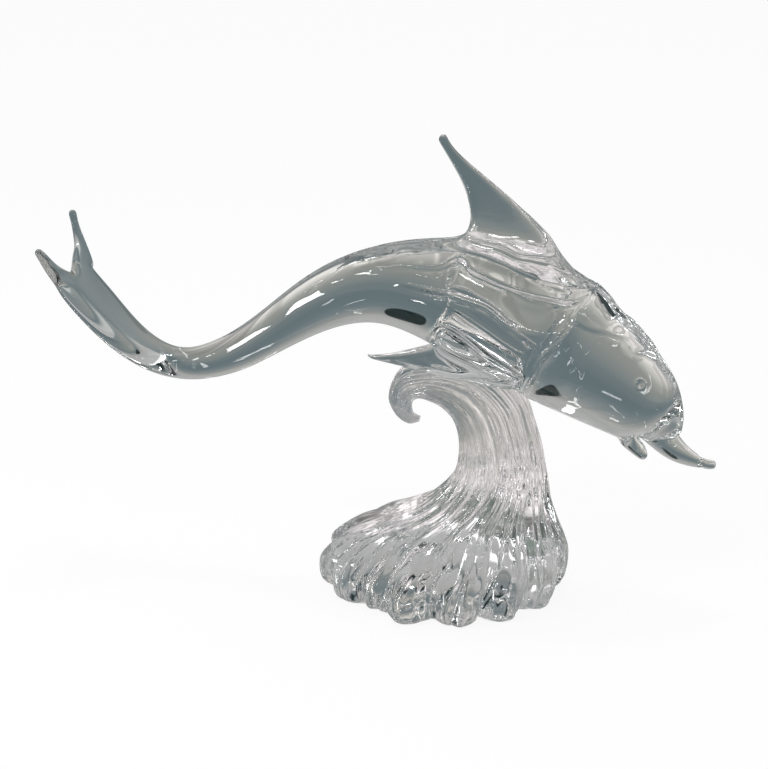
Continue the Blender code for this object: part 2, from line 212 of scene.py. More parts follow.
# %% [markdown]
# ## Shapes of the pulled forms
# The dorsal fin, the two flippers and the lower jaw each have a row of levels, from the root to
# the tip. A flipper is drawn once and mirrored, since both were pulled in the same way.

# %% Levels of the dorsal fin, the flippers and the lower jaw
# trailing x and z, leading x and z, half thickness
DORSAL_LEVELS = (
    (13.2, 250, 68.5, 244.2, 5.8),
    (12.6, 262, 49.4, 261, 4.4),
    (9, 275, 32.2, 275, 3.6),
    (2.4, 287, 16.4, 287.4, 2.9),
    (-3, 296, 5.6, 296.2, 2.4),
    (-6.4, 301.4, 0.8, 302, 2.2),
    (-8.4, 304.6, -0.8, 305, 3),
    (-6.6, 307.6, -2.4, 307.8, 1.8),
)
# trailing x, y, z, leading x, y, z, half thickness
FIN_LEVELS = (
    (-6, 31, 178, 48, 37, 152.5, 5.6),
    (-15, 37, 177, 30, 43.5, 158, 4.4),
    (-24, 43, 175.5, 6, 48.5, 163.5, 3.4),
    (-33, 47, 174.5, -18, 50.5, 169, 2.6),
    (-40, 49.5, 174.2, -33, 51, 171.6, 1.9),
    (-43.5, 50, 174.8, -40, 51, 172.8, 1.6),
)
# The way that a flipper points from the body
FIN_OUTWARD = (0.1, 0.75, -0.65)
# rear x and z, front x and z, half width
JAW_LEVELS = (
    (112.5, 109.2, 128.6, 110.8, 6.4),
    (117, 105, 131.4, 107.2, 5),
    (122, 101.4, 133, 103.4, 4.4),
    (126, 98.6, 133.2, 100.6, 3.8),
    (128.4, 97.6, 132.4, 99, 2.4),
)


def flat_levels(table, thick_way):
    """Levels of a fin that stands on the middle plane."""
    levels = []
    for rear_x, rear_z, front_x, front_z, half in table:
        rear, front = Vector((rear_x, 0, rear_z)), Vector((front_x, 0, front_z))
        levels.append(blade_level(rear, front, half, thick_way))
    return levels


def on_side(point, side):
    """A point or direction of the dolphin's left side, mirrored where the side is -1."""
    return Vector((point[0], point[1] * side, point[2]))


def flipper_levels(side):
    """Levels of the flipper on one side, +1 for the dolphin's left."""
    levels = []
    outward = on_side(FIN_OUTWARD, side).normalized()
    for *corners, half in FIN_LEVELS:
        trailing, leading = on_side(corners[:3], side), on_side(corners[3:], side)
        chord = (leading - trailing).normalized()
        levels.append(blade_level(trailing, leading, half, outward.cross(chord).normalized() * side))
    return levels


# %% [markdown]
# ## The fluke
# The tail is flattened into a paddle, split down the middle with shears, and the two halves are
# pulled apart. In the cage the last ring is closed by one vertex in its middle, and each half
# of the ring carries on as a lobe of ten corners.

# %% Lobes of the fluke
# centre x, y, z, half width, half thickness
LOBE_LEVELS = {
    1: (
        (-255.2, 21.5, 200.8, 10.8, 4),
        (-258.6, 30, 207, 7, 3.4),
        (-263, 35.6, 214.5, 4.6, 3),
        (-266.6, 39.4, 223.4, 2.5, 2.3),
        (-268.2, 40.8, 228.6, 3.1, 3.1),
        (-268.8, 41.6, 231.4, 1.9, 1.9),
    ),
    -1: (
        (-258.6, -20, 202.6, 11, 4),
        (-261.6, -26, 210.6, 8.4, 3.6),
        (-263.6, -31, 217.6, 5.8, 3.2),
        (-265.2, -34, 222.2, 3.8, 2.8),
        (-265.9, -35.6, 224.2, 2.8, 2.6),
        (-266.3, -36.4, 225.4, 1.7, 1.7),
    ),
}
# Half the distance between the lobes' roots in mm, corners of a lobe's ring, the turn of its
# first corner and the lean that each level adds, in degrees
LOBE_ROOT = 14
LOBE_CORNERS = 10
LOBE_FIRST = 144
LOBE_LEAN = 4


def add_lobe(bm, notch_ring, middle, side):
    """Grow one lobe from its half of the notch ring."""
    _, notch_x, notch_z, _, _, lean = BODY_RINGS[0]
    rings = [[notch_ring[side * k % 16] for k in range(9)] + [middle]]
    root = Vector((notch_x, LOBE_ROOT * side, notch_z))
    centres = [Vector(level[:3]) for level in LOBE_LEVELS[side]]
    path = [root] + centres
    for index, (*_, half, thick) in enumerate(LOBE_LEVELS[side]):
        ahead = path[min(index + 2, len(path) - 1)]
        along = (ahead - path[index]).normalized()
        tilt = math.radians(lean + LOBE_LEAN * index)
        out = Vector((math.sin(tilt), 0.0, math.cos(tilt))).cross(along).normalized()
        if out.y * side < 0:
            out = -out
        up = along.cross(out).normalized()
        if up.x < 0:
            up = -up
        ring = []
        for k in range(LOBE_CORNERS):
            turn = math.radians(LOBE_FIRST - 360 / LOBE_CORNERS * k)
            offset = out * half * math.cos(turn) + up * thick * math.sin(turn)
            ring.append(bm.verts.new((centres[index] + offset) * MM))
        rings.append(ring)
    add_loft(bm, rings)
    bm.faces.new(rings[-1])


# %% [markdown]
# ## One cage, one skin
# The body, lobes, fins and jaw are joined in one closed cage, so the glass has no inner walls.
# Catmull-Clark subdivision then rounds it the way surface tension rounds hot glass.

# %% The dolphin's cage
# From the notch's middle to the vertex that closes it, x and z in mm
NOTCH_SHIFT = (-1.5, 1.8)
SKIN_LEVEL = 3


def crease(bm, vertices, weight):
    """Keep the edges along a row of vertices crisp."""
    layer = bm.edges.layers.float["crease_edge"]
    for near, far in zip(vertices, vertices[1:]):
        edge = bm.edges.get((near, far))
        if edge is not None:
            edge[layer] = weight


def dolphin_cage():
    """Closed cage of the whole dolphin, with its creases."""
    bm = bmesh.new()
    bm.edges.layers.float.new("crease_edge")
    rings = [[bm.verts.new(point) for point in ring_points(index)] for index in range(len(BODY_RINGS))]
    add_loft(bm, rings)
    bm.faces.new(rings[-1])
    notch = BODY_RINGS[0]
    middle = bm.verts.new(Vector((notch[1] + NOTCH_SHIFT[0], 0.0, notch[2] + NOTCH_SHIFT[1])) * MM)
    for side in (1, -1):
        add_lobe(bm, rings[0], middle, side)
    start, seam = ring_number("fins_start"), ring_number("seam")
    for side in (1, -1):
        for column, weight in ((2, 0.7), (3, 0.9), (5, 0.9)):
            crease(bm, [rings[r][column * side] for r in range(start, seam + 1)], weight)
        crease(bm, [rings[start][column * side] for column in (3, 4, 5)], 0.7)
        crease(bm, [rings[seam][column * side] for column in range(1, 8)], 0.9)
        crease(bm, [rings[r][side] for r in range(seam, seam + 3)], 0.6)
    for name in ("beak_root", "chin"):
        ring = rings[ring_number(name)]
        crease(bm, ring + ring[:1], 0.8)

    def patch(first, last, columns):
        """Vertices of the skin in rows, for a form to be pulled from."""
        rows = range(ring_number(first), ring_number(last) + 1)
        return [[rings[r][c] for c in columns] for r in rows]

    pull_out(bm, patch("fins_start", "dorsal_end", (15, 0, 1)), flat_levels(DORSAL_LEVELS, ACROSS))
    pull_out(bm, patch("fins_start", "behind_seam", (5, 6, 7)), flipper_levels(1))
    pull_out(bm, patch("fins_start", "behind_seam", (11, 10, 9)), flipper_levels(-1))
    pull_out(bm, patch("jaw_rear", "jaw_front", (7, 8, 9)), flat_levels(JAW_LEVELS, -ACROSS))
    bmesh.ops.recalc_face_normals(bm, faces=bm.faces)
    return bm


def mesh_of(bm, name):
    """Mesh of a finished cage or loft, which is freed."""
    mesh = bpy.data.meshes.new(name)
    bm.to_mesh(mesh)
    bm.free()
    return mesh


def add_object(name, data):
    """Object with a mesh, light or camera, linked to the scene."""
    item = bpy.data.objects.new(name, data)
    bpy.context.scene.collection.objects.link(item)
    return item


def cage_mesh(bm, name):
    """Mesh of a creased cage, which is freed; its faces are sorted, as extruding keeps no order."""
    bm.verts.index_update()
    layer = bm.edges.layers.float["crease_edge"]
    creases = {frozenset(v.index for v in edge.verts): edge[layer] for edge in bm.edges}
    faces = sorted([v.index for v in face.verts] for face in bm.faces)
    mesh = bpy.data.meshes.new(name)
    mesh.from_pydata([v.co for v in bm.verts], [], faces)
    bm.free()
    weights = mesh.attributes.new("crease_edge", "FLOAT", "EDGE")
    for edge, weight in zip(mesh.edges, weights.data):
        weight.value = creases[frozenset(edge.vertices)]
    return mesh


def subdivided(bm, name, level):
    """Subdivide a cage and return the finished mesh."""
    mesh = cage_mesh(bm, name)
    item = add_object(name, mesh)
    modifier = item.modifiers.new("skin", "SUBSURF")
    modifier.levels = modifier.render_levels = level
    graph = bpy.context.evaluated_depsgraph_get()
    result = bpy.data.meshes.new_from_object(item.evaluated_get(graph))
    bpy.data.objects.remove(item, do_unlink=True)
    bpy.data.meshes.remove(mesh)
    return result


dolphin_mesh = subdivided(dolphin_cage(), "dolphin_skin", SKIN_LEVEL)
print("Dolphin skin:", len(dolphin_mesh.polygons), "quads")

# %% [markdown]
# ## Eyes
# Each eye is a small round tool mark: a dimple with a raised lip. The skin is cut finer just
# around it, and the vertices are then moved along the outward direction by a ring-shaped
# profile, so the mark stays part of the same surface.

# %% Eyes in the skin
EYE_PLACE = (128.2, 24.3, 158.5)
EYE_OUTWARD = (0.56, 0.77, 0.31)
# In mm: radius, height and width of the lip, depth and width of the dimple, and their reach
EYE_RING = 3.3
EYE_LIP = 0.75
EYE_LIP_WIDTH = 0.75
EYE_DIMPLE = 1.5
EYE_DIMPLE_WIDTH = 1.7
EYE_REACH = 6.5
EYE_CUTS = 4


def eye_profile(radius):
    """Height of the lip and dimple at a distance from the eye's centre, in millimetres."""
    lip = EYE_LIP * math.exp(-(((radius - EYE_RING) / EYE_LIP_WIDTH) ** 2))
    dimple = -EYE_DIMPLE * math.exp(-((radius / EYE_DIMPLE_WIDTH) ** 2))
    return lip + dimple


def press_eyes(mesh):
    """Cut the skin finer round both eyes and move it by their profile."""
    bm = bmesh.new()
    bm.from_mesh(mesh)
    for side in (1, -1):
        centre = on_side(EYE_PLACE, side) * MM
        outward = on_side(EYE_OUTWARD, side).normalized()
        near = [v for v in bm.verts if (v.co - centre).length < EYE_REACH * 1.3 * MM]
        edges = dict.fromkeys(edge for v in near for edge in v.link_edges)
        bmesh.ops.subdivide_edges(bm, edges=list(edges), cuts=EYE_CUTS, use_grid_fill=True)
        for vertex in bm.verts:
            offset = vertex.co - centre
            if offset.length < EYE_REACH * 1.5 * MM:
                flat = offset - outward * offset.dot(outward)
                vertex.co += outward * eye_profile(flat.length / MM) * MM
    bm.to_mesh(mesh)
    bm.free()


press_eyes(dolphin_mesh)
print("With eyes:", len(dolphin_mesh.polygons), "faces")

# %% [markdown]
# ## Tool marks
# While the glass is soft, jacks and paddles leave lines in it: the edge of the gather that
# carries the dorsal fin, the cord along each flank, the rim of the head where it overlaps the
# body, and folds that run together behind the head. Each is drawn as a curve in the side view
# and pressed into both flanks along the skin's normals. The skin is cut finer beside the curves.

# %% Curves of the tool marks
# kind, height and width in mm, nearest and farthest |y|, points x and z from tail to head
TOOL_MARKS = (
    ("edge", 2.2, 1.1, 2, 40, (
        (-48, 221), (-28, 225), (-12, 225.5), (-3, 226), (4, 229), (9, 231), (14.5, 229), (18.5, 225.5),
        (31, 221), (41, 218), (57, 213.3), (66.5, 211.6), (79, 209), (89, 210), (96, 212.6),
    )),
    ("groove", 1.1, 1.1, 2, 40, (
        (-92, 200), (-78, 212), (-63, 221.5), (-49.5, 226), (-39, 229), (-30, 232.4),
    )),
    ("cord", 1.0, 1.2, 2, 60, (
        (-27, 215.4), (-10.4, 213.5), (4.4, 212), (17, 209.4), (30, 205.8), (40.4, 199.2), (47.6, 194),
        (58, 187.4), (66.5, 180.3),
    )),
    ("cord", 1.1, 1.2, 2, 40, (
        (1, 192.4), (12, 187.4), (21.3, 181.2), (33.4, 172.4), (46.5, 165.3), (54, 162),
    )),
    ("rim", 1.3, 0.9, 2, 60, (
        (96, 213), (90, 209), (87.7, 205.3), (86.2, 202.7), (84.3, 197), (79.4, 190.1), (69.8, 180.8),
        (64.8, 174.3), (62.2, 167.1), (58.2, 160), (52, 148),
    )),
    ("groove", 0.9, 1.2, 1, 40, ((66, 230), (73, 226.5), (84, 220), (96, 213.4))),
    ("groove", 0.8, 1.1, 1, 40, ((60, 222), (70, 219.5), (82, 216), (95, 213.2))),
    ("groove", 0.8, 1.1, 1, 40, ((70, 206), (78, 206), (88, 209), (95, 212.6))),
    ("edge", 1.3, 1.3, 2, 60, (
        (80, 203), (88, 198), (96, 193.7), (106, 190.5), (117, 185.4), (124, 177.6), (130, 175), (137, 170),
    )),
    ("groove", 1.0, 1.0, 2, 40, ((-2, 194), (1.5, 199), (4, 205), (5, 211), (2, 220), (3, 227))),
    ("groove", 0.7, 0.9, 0, 30, ((165.5, 106), (167, 100), (168.5, 92))),
)
# Thumb-sized dimples: x, z, radius, depth, nearest and farthest |y|
DIMPLES = (
    (10, 200, 5.5, 0.9, 20, 40),
    (44, 223, 9, 1.5, 4, 40),
    (76, 196, 6, 0.8, 15, 40),
    (111, 196.5, 7, 2.0, 2, 30),
)
# The same on the far flank only, where the head was held while the seam was closed
FAR_DIMPLES = ((62, 157.7, 7.7, 3.3, 5, 60),)
# In mm: how near a mark the skin is cut finer, and how fast an edge and a side fade out
MARK_REACH = 4.0
EDGE_FADE = 11.0
SIDE_FADE = 3.0
RELAX_PASSES = 6
# Share of its length over which a mark runs out at each end
END_FADE = 0.14


def between(a, b, c, d, t):
    """Catmull-Rom value at a share t of the way from b to c."""
    return b + 0.5 * t * (c - a + t * (2 * a - 5 * b + 4 * c - d + t * (3 * (b - c) + d - a)))


def smooth_curve(points, steps):
    """Points of a Catmull-Rom curve through the given points."""
    row = [np.array(point, float) for point in (points[0],) + tuple(points) + (points[-1],)]
    curve = []
    for a, b, c, d in zip(row, row[1:], row[2:], row[3:]):
        curve += [between(a, b, c, d, step / steps) for step in range(steps)]
    curve.append(row[-1])
    return np.array(curve)


def beside(flat, curve):
    """Signed distance of flat points from a curve, left side positive, and share along it."""
    start, span = curve[:-1], np.diff(curve, axis=0)
    length = (span**2).sum(axis=1)
    offset = flat[:, None, :] - start
    along = np.clip((offset * span).sum(axis=2) / length, 0.0, 1.0)
    apart = offset - along[:, :, None] * span
    far = np.hypot(apart[:, :, 0], apart[:, :, 1])
    near = far.argmin(axis=1)
    pick = np.arange(len(flat))
    turned = span[near, 0] * apart[pick, near, 1] - span[near, 1] * apart[pick, near, 0]
    return np.copysign(far[pick, near], turned), (near + along[pick, near]) / len(span)


def mark_height(kind, height, width, distance):
    """Cross profile of one kind of mark."""
    bell = np.exp(-((distance / width) ** 2))
    if kind == "groove":
        return -height * bell
    if kind == "cord":
        return height * (bell - np.exp(-(((distance + 2.1 * width) / width) ** 2)))
    rise = 0.5 + 0.5 * np.tanh(1.6 * distance / width)
    raised = height * rise * np.exp(-np.maximum(distance, 0.0) / EDGE_FADE)
    if kind == "rim":
        return raised + 0.35 * height * bell
    return raised - 0.3 * height * np.exp(-(((distance + 1.5 * width) / width) ** 2))


# %% [markdown]
# ## Pressing the marks
# A bump in the material would leave the glass's outline smooth, so the marks are moved into the
# mesh. Each fades out at its ends and towards the middle plane, where the flanks meet.

# %% Press the marks
def side_view(mesh):
    """Vertices as x and z in the side view, and their distance from the middle plane, in mm."""
    places = np.empty(len(mesh.vertices) * 3)
    mesh.vertices.foreach_get("co", places)
    places = places.reshape(-1, 3) / MM
    return places, places[:, (0, 2)], np.abs(places[:, 1])


def cut_finer(mesh):
    """Subdivide the skin beside the tool marks and relax the new vertices."""
    _, flat, depth = side_view(mesh)
    wanted = np.zeros(len(flat), bool)
    for *_, nearest, farthest, points in TOOL_MARKS:
        distance, _ = beside(flat, smooth_curve(points, 2))
        wanted |= (np.abs(distance) < MARK_REACH) & (depth > nearest) & (depth < farthest)
    bm = bmesh.new()
    bm.from_mesh(mesh)
    bm.verts.ensure_lookup_table()
    chosen = {bm.verts[i] for i in np.flatnonzero(wanted)}
    edges = [edge for edge in bm.edges if edge.verts[0] in chosen and edge.verts[1] in chosen]
    made = bmesh.ops.subdivide_edges(bm, edges=edges, cuts=2, use_grid_fill=True)
    chosen.update(item for item in made["geom_inner"] if isinstance(item, bmesh.types.BMVert))
    relaxed = [v for v in bm.verts if v in chosen and all(len(f.verts) == 4 for f in v.link_faces)]
    axes = {"use_axis_x": True, "use_axis_y": True, "use_axis_z": True}
    for _ in range(RELAX_PASSES):
        bmesh.ops.smooth_vert(bm, verts=relaxed, factor=0.5, **axes)
    bm.to_mesh(mesh)
    bm.free()


def press_marks(mesh):
    """Move the skin along its normals by all the marks and dimples."""
    places, flat, depth = side_view(mesh)
    normals = np.array([vertex.normal[:] for vertex in mesh.vertices])
    movement = np.zeros(len(flat))
    for kind, height, width, nearest, farthest, points in TOOL_MARKS:
        distance, share = beside(flat, smooth_curve(points, 6))
        ends = np.clip(np.minimum(share, 1.0 - share) / END_FADE, 0.0, 1.0)
        sides = np.clip((depth - nearest) / SIDE_FADE, 0.0, 1.0) * (depth < farthest)
        movement += mark_height(kind, height, width, distance) * ends**0.7 * sides
    for dimples, reach in ((DIMPLES, depth), (FAR_DIMPLES, places[:, 1])):
        for x, z, radius, deep, nearest, farthest in dimples:
            away = np.hypot(flat[:, 0] - x, flat[:, 1] - z) / radius
            sides = np.clip((reach - nearest) / SIDE_FADE, 0.0, 1.0) * (reach < farthest)
            movement -= deep * np.exp(-(away**2)) * sides
    places = (places + normals * movement[:, None]) * MM
    mesh.vertices.foreach_set("co", places.ravel())
    mesh.update()


cut_finer(dolphin_mesh)
press_marks(dolphin_mesh)
print("Tool marks:", len(TOOL_MARKS), "on", len(dolphin_mesh.polygons), "faces")

# %% [markdown]
# ## Hand-made surface
# Glass shaped by hand is never quite even, and the eye reads that in the way light bends. The
# skin is moved along its normals by slow waves: faint on the tail and head, stronger on the
# saddle under the dorsal fin and round the flippers, where the glass was gathered and pulled.

# %% Waves in the dolphin's skin
# Middle of the saddle and of the belly between the flippers, and how far each reaches
SADDLE = Vector((0.045, 0.0, 0.235))
SADDLE_REACH = 0.040
BELLY = Vector((0.020, 0.0, 0.160))
BELLY_REACH = 0.034
# Height of the waves in mm, everywhere and at those two places, and their length in metres
SLOW_HEIGHT = 0.10
SADDLE_HEIGHT = 0.55
BELLY_HEIGHT = 0.5
SLOW_LENGTH = 0.045
QUICK_LENGTH = 0.013
QUICK_SHIFT = Vector((3.1, 0.4, 7.7))


def near_share(point, centre, reach):
    """Share from 1 at a centre to nearly 0 past its reach."""
    return math.exp(-(((point - centre).length / reach) ** 2))


def hand_waves(point):
    """Movement along the normal, in metres."""
    slow = SLOW_HEIGHT * noise.noise(point / SLOW_LENGTH) * MM
    gathered = near_share(point, SADDLE, SADDLE_REACH)
    pulled = near_share(point, BELLY, BELLY_REACH)
    quick = noise.noise(point / QUICK_LENGTH + QUICK_SHIFT)
    return slow + (SADDLE_HEIGHT * gathered + BELLY_HEIGHT * pulled) * quick * MM


def move_skin(mesh, movement):
    """Move every vertex along its normal."""
    normals = [vertex.normal.copy() for vertex in mesh.vertices]
    for vertex, normal in zip(mesh.vertices, normals):
        vertex.co += normal * movement(vertex.co.copy())
    mesh.update()


move_skin(dolphin_mesh, hand_waves)
dolphin_mesh.shade_smooth()
dolphin = add_object("dolphin_glass", dolphin_mesh)
print("Dolphin triangles:", sum(len(p.vertices) - 2 for p in dolphin_mesh.polygons))

# %% [markdown]
# ## The wave
# The base is a gather of glass that was pushed into a ribbed mould and then pulled over, so its
# ribs start as round lobes at the foot, run up the column close together and twist into the
# hook. It is a loft: each section lies between an inner and an outer point of the curl, and the
# ribs are a ripple around every section.

# %% Sections of the wave
# inner x and z, outer x and z, half depth, rib share
WAVE_SECTIONS = (
    (-77.5, 0, 75, 0, 76, 1.0),
    (-82, 3, 79.5, 4, 80.5, 1.0),
    (-84.6, 9, 82, 14, 80.5, 0.97),
    (-84.2, 19, 82, 26, 73.5, 0.9),
    (-75.2, 28.4, 79, 37, 63.5, 0.82),
    (-62.5, 36.8, 74.5, 49, 53.5, 0.7),
    (-42.5, 44.2, 70.5, 61, 45, 0.56),
    (-20, 54.5, 68.5, 72, 39, 0.44),
    (-4, 68, 67, 82, 34, 0.35),
    (5, 81, 65.5, 92, 31, 0.3),
    (8.2, 95, 63, 104, 28.5, 0.27),
    (7.4, 108.5, 58.5, 119, 27, 0.25),
    (3.5, 118.5, 51, 137, 25, 0.23),
    (-4, 125.5, 32, 154, 22.5, 0.2),
    (-12, 128.8, 8, 159, 19.5, 0.18),
    (-19, 129.8, -13.5, 156, 16, 0.16),
    (-23.2, 126.8, -31.4, 148.8, 12.8, 0.13),
    (-24.2, 122.4, -39.6, 131, 9.6, 0.09),
    (-23.4, 118.9, -35.2, 117.6, 6.4, 0.04),
    (-21.6, 117.6, -26.6, 110.9, 4, 0.02),
    (-18.4, 116.6, -19, 112.4, 2, 0.01),
)
# Sections over which the foot turns into the neck, and its lobes into ribs
FOOT_SECTIONS = 7
LOBE_SECTIONS = 3.0
STEPS_PER_RIB = 36
STEPS_PER_SECTION = 9
# Depth of the grooves between the ribs, and the least reach that they are cut from, in mm
RIB_DEPTH_FOOT = 11.5
RIB_DEPTH_NECK = 2.9
LEAST_REACH = 4.0


def between_sections(position):
    """Values of the wave at a position along its length, smooth through the sections."""
    last = len(WAVE_SECTIONS) - 1
    index = min(int(position), last - 1)
    t = position - index
    rows = [WAVE_SECTIONS[min(max(index + k, 0), last)] for k in (-1, 0, 1, 2)]
    values = [between(a, b, c, d, t) for a, b, c, d in zip(*rows)]
    values[1], values[3] = max(values[1], 0.0), max(values[3], 0.0)
    return values


# %% [markdown]
# ## Ribs, reeds and valleys
# The mould gives the ribs, and pulling the glass up draws them out into fine reeds with sharp
# valleys between them. The reeds and valleys are too fine for the CAD model and are added here,
# as noise that keeps its place round the wave as it rises.

# %% Ribs of the wave
# The turn of each from the +X axis in degrees, and how far its foot is set back in mm
RIBS = (
    (-164, 0),
    (-141, 3),
    (-120, 11),
    (-101, 0),
    (-74, 1),
    (-47, 1.5),
    (-22, -1.5),
    (7, 0),
    (33, 2),
    (59, 0),
    (85, 1),
    (111, 0),
    (137, 2),
    (167, 0),
)
# The grooves are wide between the foot's lobes and narrow on the neck
LOBE_ROUNDNESS = 1.4
NECK_ROUNDNESS = 0.75
FOOT_SQUARENESS = 0.92
# Fine reeds run up the whole wave; they are this deep in mm and this many to a turn
REED_FOOT = 0.8
REED_NECK = 0.75
REED_COUNT = 20.0
REED_DRIFT = 0.13
# Sharp valleys between the drawn-out ribs: number to a turn, depth in mm, half width in turn
VALLEY_COUNT = 25
VALLEY_FOOT = 4.2
VALLEY_NECK = 2.0
VALLEY_WIDTH = 0.040
# How far a valley wanders, its mean presence and the range round it, and how sharp it is
VALLEY_WANDER = 0.75
VALLEY_PRESENCE = 0.65
VALLEY_RANGE = 0.9
VALLEY_SHARPNESS = 1.3


def reed(turn, position, foot):
    """Height of the fine reeds, which keep their place round the wave as they run up it."""
    east, north, drift = math.cos(turn), math.sin(turn), position * REED_DRIFT
    soft = noise.noise(Vector((east * REED_COUNT, north * REED_COUNT, drift)))
    return soft * (REED_NECK + (REED_FOOT - REED_NECK) * foot)


def valley(turn, position, foot):
    """Depth of the nearest sharp valley. Each wanders a little and comes and goes along the wave."""
    spacing = 2 * math.pi / VALLEY_COUNT
    nearest = round(turn / spacing)
    deepest = 0.0
    for number in (nearest - 1, nearest, nearest + 1):
        key = number % VALLEY_COUNT
        # Each valley reads its own two paths through the noise
        wander = noise.noise(Vector((key * 3.7, 1.3, position * 0.22)))
        strength = noise.noise(Vector((key * 5.1, 8.2, position * 0.3)))
        presence = VALLEY_PRESENCE + VALLEY_RANGE * strength
        away = abs(turn - (number + VALLEY_WANDER * wander) * spacing) / VALLEY_WIDTH
        deepest = max(deepest, presence * math.exp(-(away**VALLEY_SHARPNESS)))
    return deepest * (VALLEY_NECK + (VALLEY_FOOT - VALLEY_NECK) * foot)


def wave_section(position):
    """All corners of one ribbed section."""
    inner_x, inner_z, outer_x, outer_z, half_depth, rib_share = between_sections(position)
    inner, outer = Vector((inner_x, 0.0, inner_z)), Vector((outer_x, 0.0, outer_z))
    centre, reach = (inner + outer) / 2, (outer - inner) / 2
    half_depth, rib_share = max(half_depth, 0.5), max(rib_share, 0.0)
    groove = max(RIB_DEPTH_FOOT * rib_share, RIB_DEPTH_NECK * min(1.0, rib_share * 4))
    foot = max(0.0, 1.0 - position / FOOT_SECTIONS)
    squareness = 1.0 - (1.0 - FOOT_SQUARENESS) * foot
    lobed = max(0.0, 1.0 - position / LOBE_SECTIONS)
    roundness = NECK_ROUNDNESS + (LOBE_ROUNDNESS - NECK_ROUNDNESS) * lobed
    points = []
    for number, (rib_turn, setback) in enumerate(RIBS):
        before = RIBS[number - 1][0] - (360 if number == 0 else 0)
        after = RIBS[(number + 1) % len(RIBS)][0] + (360 if number == len(RIBS) - 1 else 0)
        for k in range(STEPS_PER_RIB):
            share = k / STEPS_PER_RIB
            turn = math.radians((before + rib_turn + (after - before) * share) / 2)
            swell = abs(math.sin(math.pi * share)) ** roundness
            cut = groove * (1.0 - swell) + setback * swell * foot
            fine = reed(turn, position, foot) - valley(turn, position, foot)
            cut -= fine * min(1.0, rib_share * 8)
            along = reach * (1.0 - cut / max(reach.length, LEAST_REACH))
            across = ACROSS * (half_depth - cut * half_depth / max(half_depth, LEAST_REACH))
            out = math.copysign(abs(math.cos(turn)) ** squareness, math.cos(turn))
            side = math.copysign(abs(math.sin(turn)) ** squareness, math.sin(turn))
            points.append((centre + along * out + across * side) * MM)
    return points


# %% [markdown]
# ## Lofting the wave
# Each ribbed section is a ring of vertices, and quads join one ring to the next. The steps are
# small enough for light to see smooth ribs.

# %% The wave's skin
def wave_skin():
    """Closed mesh of the wave, from the flat foot to the tip of the hook."""
    bm = bmesh.new()
    steps = (len(WAVE_SECTIONS) - 1) * STEPS_PER_SECTION
    rings = []
    for step in range(steps + 1):
        rings.append([bm.verts.new(p) for p in wave_section(step / STEPS_PER_SECTION)])
    add_loft(bm, rings)
    bm.faces.new(rings[0])
    bm.faces.new(rings[-1])
    bmesh.ops.recalc_face_normals(bm, faces=bm.faces)
    return mesh_of(bm, "wave_skin")


wave_mesh = wave_skin()
print("Wave skin:", len(wave_mesh.polygons), "faces")

# %% [markdown]
# ## The seat
# The dolphin lies in the crest of the wave. Where the wave's skin would enter the dolphin it is
# laid against the dolphin's skin instead, with a gap no thicker than a sheet of paper, as if
# the soft crest had been pressed to the belly.

# %% Fit the crest to the belly
# Gap in mm, lowest height of the crest and how far its vertices look for the belly, in metres
SEAT_GAP = 0.35
CREST_BOTTOM = 0.12
CREST_SEARCH = 0.03


def fit_to(mesh, other):
    """Push vertices of mesh that are inside the other mesh out to its skin."""
    bm = bmesh.new()
    bm.from_mesh(other)
    bmesh.ops.triangulate(bm, faces=bm.faces)
    tree = BVHTree.FromBMesh(bm)
    bm.free()
    moved = 0
    for vertex in mesh.vertices:
        if vertex.co.z < CREST_BOTTOM:
            continue
        place, normal, _, _ = tree.find_nearest(vertex.co, CREST_SEARCH)
        if place is None:
            continue
        height = (vertex.co - place).dot(normal)
        if height < SEAT_GAP * MM:
            vertex.co = place + normal * SEAT_GAP * MM
            moved += 1
    mesh.update()
    return moved


print("Crest vertices laid on the belly:", fit_to(wave_mesh, dolphin_mesh))
wave_mesh.shade_smooth()
wave = add_object("wave_glass", wave_mesh)

# %% [markdown]
# ## Clear glass
# Crystal glass is almost colourless, bends light strongly and is polished by fire, so it is a
# transmissive Principled shader with hardly any roughness. Even so it isn't flat: cords of
# slightly different glass and the marks of tools make a soft ripple, which a shared group of
# nodes gives to both pieces as a normal and a trace of haze.

# %% Ripple group
# Height in metres of a full ripple, scale of the smears, and the noise values between which they show
RIPPLE_STEP = 0.001
SMEAR_SCALE = 55.0
SMEAR_RANGE = (0.55, 0.85)


def add_node(tree, kind, sources=None, **settings):
    """Add a shader node. A source is a plain value of one of its sockets, or a socket to link."""
    node = tree.nodes.new("ShaderNode" + kind)
    for setting, value in settings.items():
        setattr(node, setting, value)
    for socket, source in (sources or {}).items():
        if isinstance(source, bpy.types.NodeSocket):
            tree.links.new(source, node.inputs[socket])
        else:
            node.inputs[socket].default_value = source
    return node


def map_range(tree, value, before, after=(0.0, 1.0), **settings):
    """Carry a value from one range over to another, where it stops at the ends."""
    sockets = ("Value", "From Min", "From Max", "To Min", "To Max")
    sources = dict(zip(sockets, (value, *before, *after)))
    return add_node(tree, "MapRange", sources, **settings).outputs["Result"]


